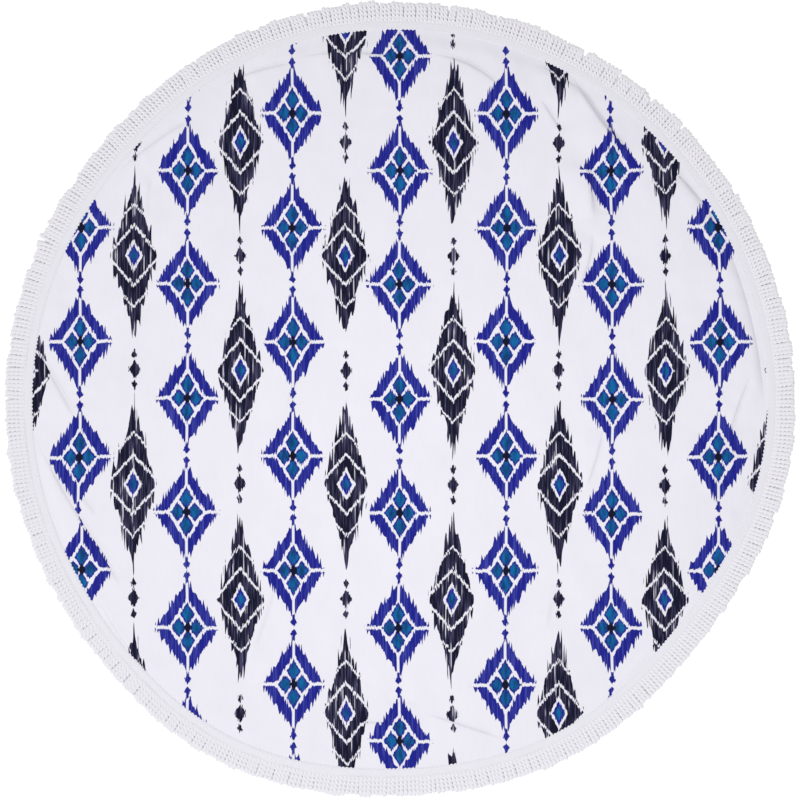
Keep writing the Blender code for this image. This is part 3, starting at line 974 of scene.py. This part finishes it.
def build_loops(name, numbers, material):
    """One piece of many loops, with a UV map of the place on the yarn, in metres."""
    points, faces, places = [], [], []
    for number in numbers:
        local = loop_centreline(number)
        lumps = 1 + PLY_LUMPS * np.array([chance.uniform(-1, 1) for _ in local])
        grown = past_root(local[:, 0])
        radii = PLY_RADIUS * lumps * (1 + ROOT_SPREAD * (1 - grown))
        radii *= 1 - LOOSENESS * math.cos(loop_angles[number] - math.radians(LOOSEST_AT_DEG))
        outward = np.array((math.cos(loop_angles[number]), math.sin(loop_angles[number]), 0))
        onward = np.array((-outward[1], outward[0], 0))
        along = loop_base[number] + local[:, 0]
        sideways = local[:, 1] + lean_of(number, local[:, 0])
        path = along[:, None] * outward + sideways[:, None] * onward
        path[:, 2] = local[:, 2]
        first = len(points) * PLY_SIDES
        ring_total = len(path)
        flatness = PLY_FLATNESS * (ROOT_FLATNESS + (1 - ROOT_FLATNESS) * grown)
        points += list(tube_round(path, radii, flatness))
        lengths = yarn_length(path)
        girth = math.tau * PLY_RADIUS
        for ring in range(ring_total - 1):
            here = first + ring * PLY_SIDES
            for side in range(PLY_SIDES):
                following = (side + 1) % PLY_SIDES
                there = here + PLY_SIDES
                faces.append((here + side, here + following, there + following, there + side))
                low, high = girth * side / PLY_SIDES, girth * (side + 1) / PLY_SIDES
                places += [(low, lengths[ring]), (high, lengths[ring])]
                places += [(high, lengths[ring + 1]), (low, lengths[ring + 1])]
        last = first + (ring_total - 1) * PLY_SIDES
        faces.append(tuple(range(first + PLY_SIDES - 1, first - 1, -1)))
        faces.append(tuple(range(last, last + PLY_SIDES)))
        places += [(0, 0)] * (2 * PLY_SIDES)
    piece = new_piece(name, np.concatenate(points), faces, (material,))
    add_uv_map(piece.data, "along_yarn", places)
    return piece


LOOP_YARN = (0.83, 0.82, 0.865, 1.0)  # lighter than it reads, because the loops shade each other
yarn, yarn_tree, yarn_shader = new_material("twisted_cotton_yarn")
yarn_twist = place_group(yarn_tree, weave, Place=millimetres(yarn_tree, "along_yarn"),
                         Pitch=1.3, Slant=0.7, Fuzz=0.6)
# the yarn's colour carries painted shade in the grooves between its plies
yarn_tree.links.new(shaded(yarn_tree, LOOP_YARN, yarn_twist["Shade"]), yarn_shader.inputs["Base Color"])
yarn_shader.inputs["Roughness"].default_value = 0.9
yarn_shader.inputs["Diffuse Roughness"].default_value = 0.4
yarn_shader.inputs["Specular IOR Level"].default_value = 0.1
yarn_shader.inputs["Sheen Weight"].default_value = 0.3
yarn_shader.inputs["Sheen Roughness"].default_value = 0.5
add_bump(yarn_tree, yarn_shader, yarn_twist["Height"], 0.15, 0.0004)

QUARTERS = ("right_upper", "left_upper", "left_lower", "right_lower")
loops = []
for quarter, label in enumerate(QUARTERS):
    per_quarter = LOOP_COUNT // len(QUARTERS)
    numbers = range(quarter * per_quarter, (quarter + 1) * per_quarter)
    loops.append(build_loops("loops_" + label, numbers, yarn))
for piece in loops:
    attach(piece, "root")
    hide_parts("fringe_loops")

# ---- The studio ----
# A white floor, a white room, one large soft light from the picture's lower left and a weak one close
# over the towel, so that its rim is a little darker than its middle.

FLOOR_SIZE = 60.0
floor_mesh = bpy.data.meshes.new("floor")
reach = FLOOR_SIZE / 2
floor_mesh.from_pydata(
    [(-reach, -reach, 0), (reach, -reach, 0), (reach, reach, 0), (-reach, reach, 0)], [], [(0, 1, 2, 3)]
)
paper, paper_tree, paper_shader = new_material("white_paper")
paper_shader.inputs["Base Color"].default_value = (0.97, 0.97, 0.975, 1)
paper_shader.inputs["Roughness"].default_value = 0.9
paper_shader.inputs["Specular IOR Level"].default_value = 0.1
paper_shader.inputs["Emission Color"].default_value = (1, 1, 1, 1)
paper_shader.inputs["Emission Strength"].default_value = 0.18
floor_mesh.materials.append(paper)
floor = bpy.data.objects.new("floor", floor_mesh)
bpy.context.scene.collection.objects.link(floor)
floor.location.z = -0.0002

# Under the towel lies a light grey disc that stops short of the loops' ends: painted shade, which darkens the
# floor seen through the gaps between the loops.
SHADE_DISC_INSET = 0.009  # from the loops' ends
shade_disc_turns = np.arange(360) * math.tau / 360
shade_disc_radius = radius_at(HEADING_EDGE, shade_disc_turns) + LOOP_LENGTH - SHADE_DISC_INSET
shade_disc_x, shade_disc_y = shade_disc_radius * np.cos(shade_disc_turns), shade_disc_radius * np.sin(shade_disc_turns)
shade_disc_points = np.stack([shade_disc_x, shade_disc_y, np.zeros_like(shade_disc_x)], axis=1)
shade_disc_mesh = bpy.data.meshes.new("painted_shade_disc")
shade_disc_mesh.from_pydata(shade_disc_points.tolist(), [], [tuple(range(len(shade_disc_turns)))])
grey, shade_disc_tree, shade_disc_shader = new_material("painted_shade_disc")
# the disc's grey is painted shade for the floor between the loops
shade_disc_shader.inputs["Base Color"].default_value = (0.88, 0.88, 0.91, 1)
shade_disc_shader.inputs["Roughness"].default_value = 0.9
shade_disc_shader.inputs["Specular IOR Level"].default_value = 0.1
shade_disc_mesh.materials.append(grey)
painted_shade_disc = bpy.data.objects.new("painted_shade_disc", shade_disc_mesh)
bpy.context.scene.collection.objects.link(painted_shade_disc)
painted_shade_disc.location.z = -0.0001


def add_light(name, target, distance, turn_deg, rise_deg, size, power):
    """A round light that faces this place on the floor; it turns from +X."""
    lamp = bpy.data.lights.new(name, "AREA")
    lamp.shape = "DISK"
    lamp.size = size
    lamp.energy = power
    lamp.color = (1.0, 0.995, 0.99)
    light = bpy.data.objects.new(name, lamp)
    bpy.context.scene.collection.objects.link(light)
    rise, around = math.radians(rise_deg), math.radians(turn_deg)
    level = distance * math.cos(rise)
    away = Vector((level * math.cos(around), level * math.sin(around), distance * math.sin(rise)))
    light.location = Vector(target) + away
    light.rotation_euler = (-away).to_track_quat("-Z", "Y").to_euler()


add_light("soft_light", (0, 0, 0), distance=18.0, turn_deg=-136, rise_deg=40, size=6.8, power=1340)
add_light("close_light", (0.02, -0.17, 0), distance=1.6, turn_deg=0, rise_deg=90, size=0.6, power=5.9)

world = bpy.data.worlds.new("white_room")
world.use_nodes = True
world.node_tree.nodes["Background"].inputs["Color"].default_value = (1, 1, 1, 1)
world.node_tree.nodes["Background"].inputs["Strength"].default_value = 0.63
bpy.context.scene.world = world
bpy.context.scene.view_settings.view_transform = "Standard"

# The camera looks straight down. The photograph is 800 pixels square, and its towel's middle is at
# pixel (399.5, 399).
PICTURE_PIXELS = 800
METRES_PER_PIXEL = 0.0018844
TOWEL_MIDDLE_PX = (399.5, 399.0)
LENS = 85
SENSOR = 36
camera_data = bpy.data.cameras.new("camera")
camera_data.lens = LENS
camera_data.sensor_width = SENSOR
camera = bpy.data.objects.new("camera", camera_data)
bpy.context.scene.collection.objects.link(camera)
camera.location = (
    (PICTURE_PIXELS / 2 - TOWEL_MIDDLE_PX[0]) * METRES_PER_PIXEL,
    (TOWEL_MIDDLE_PX[1] - PICTURE_PIXELS / 2) * METRES_PER_PIXEL,
    PICTURE_PIXELS * METRES_PER_PIXEL * LENS / SENSOR,
)
bpy.context.scene.camera = camera
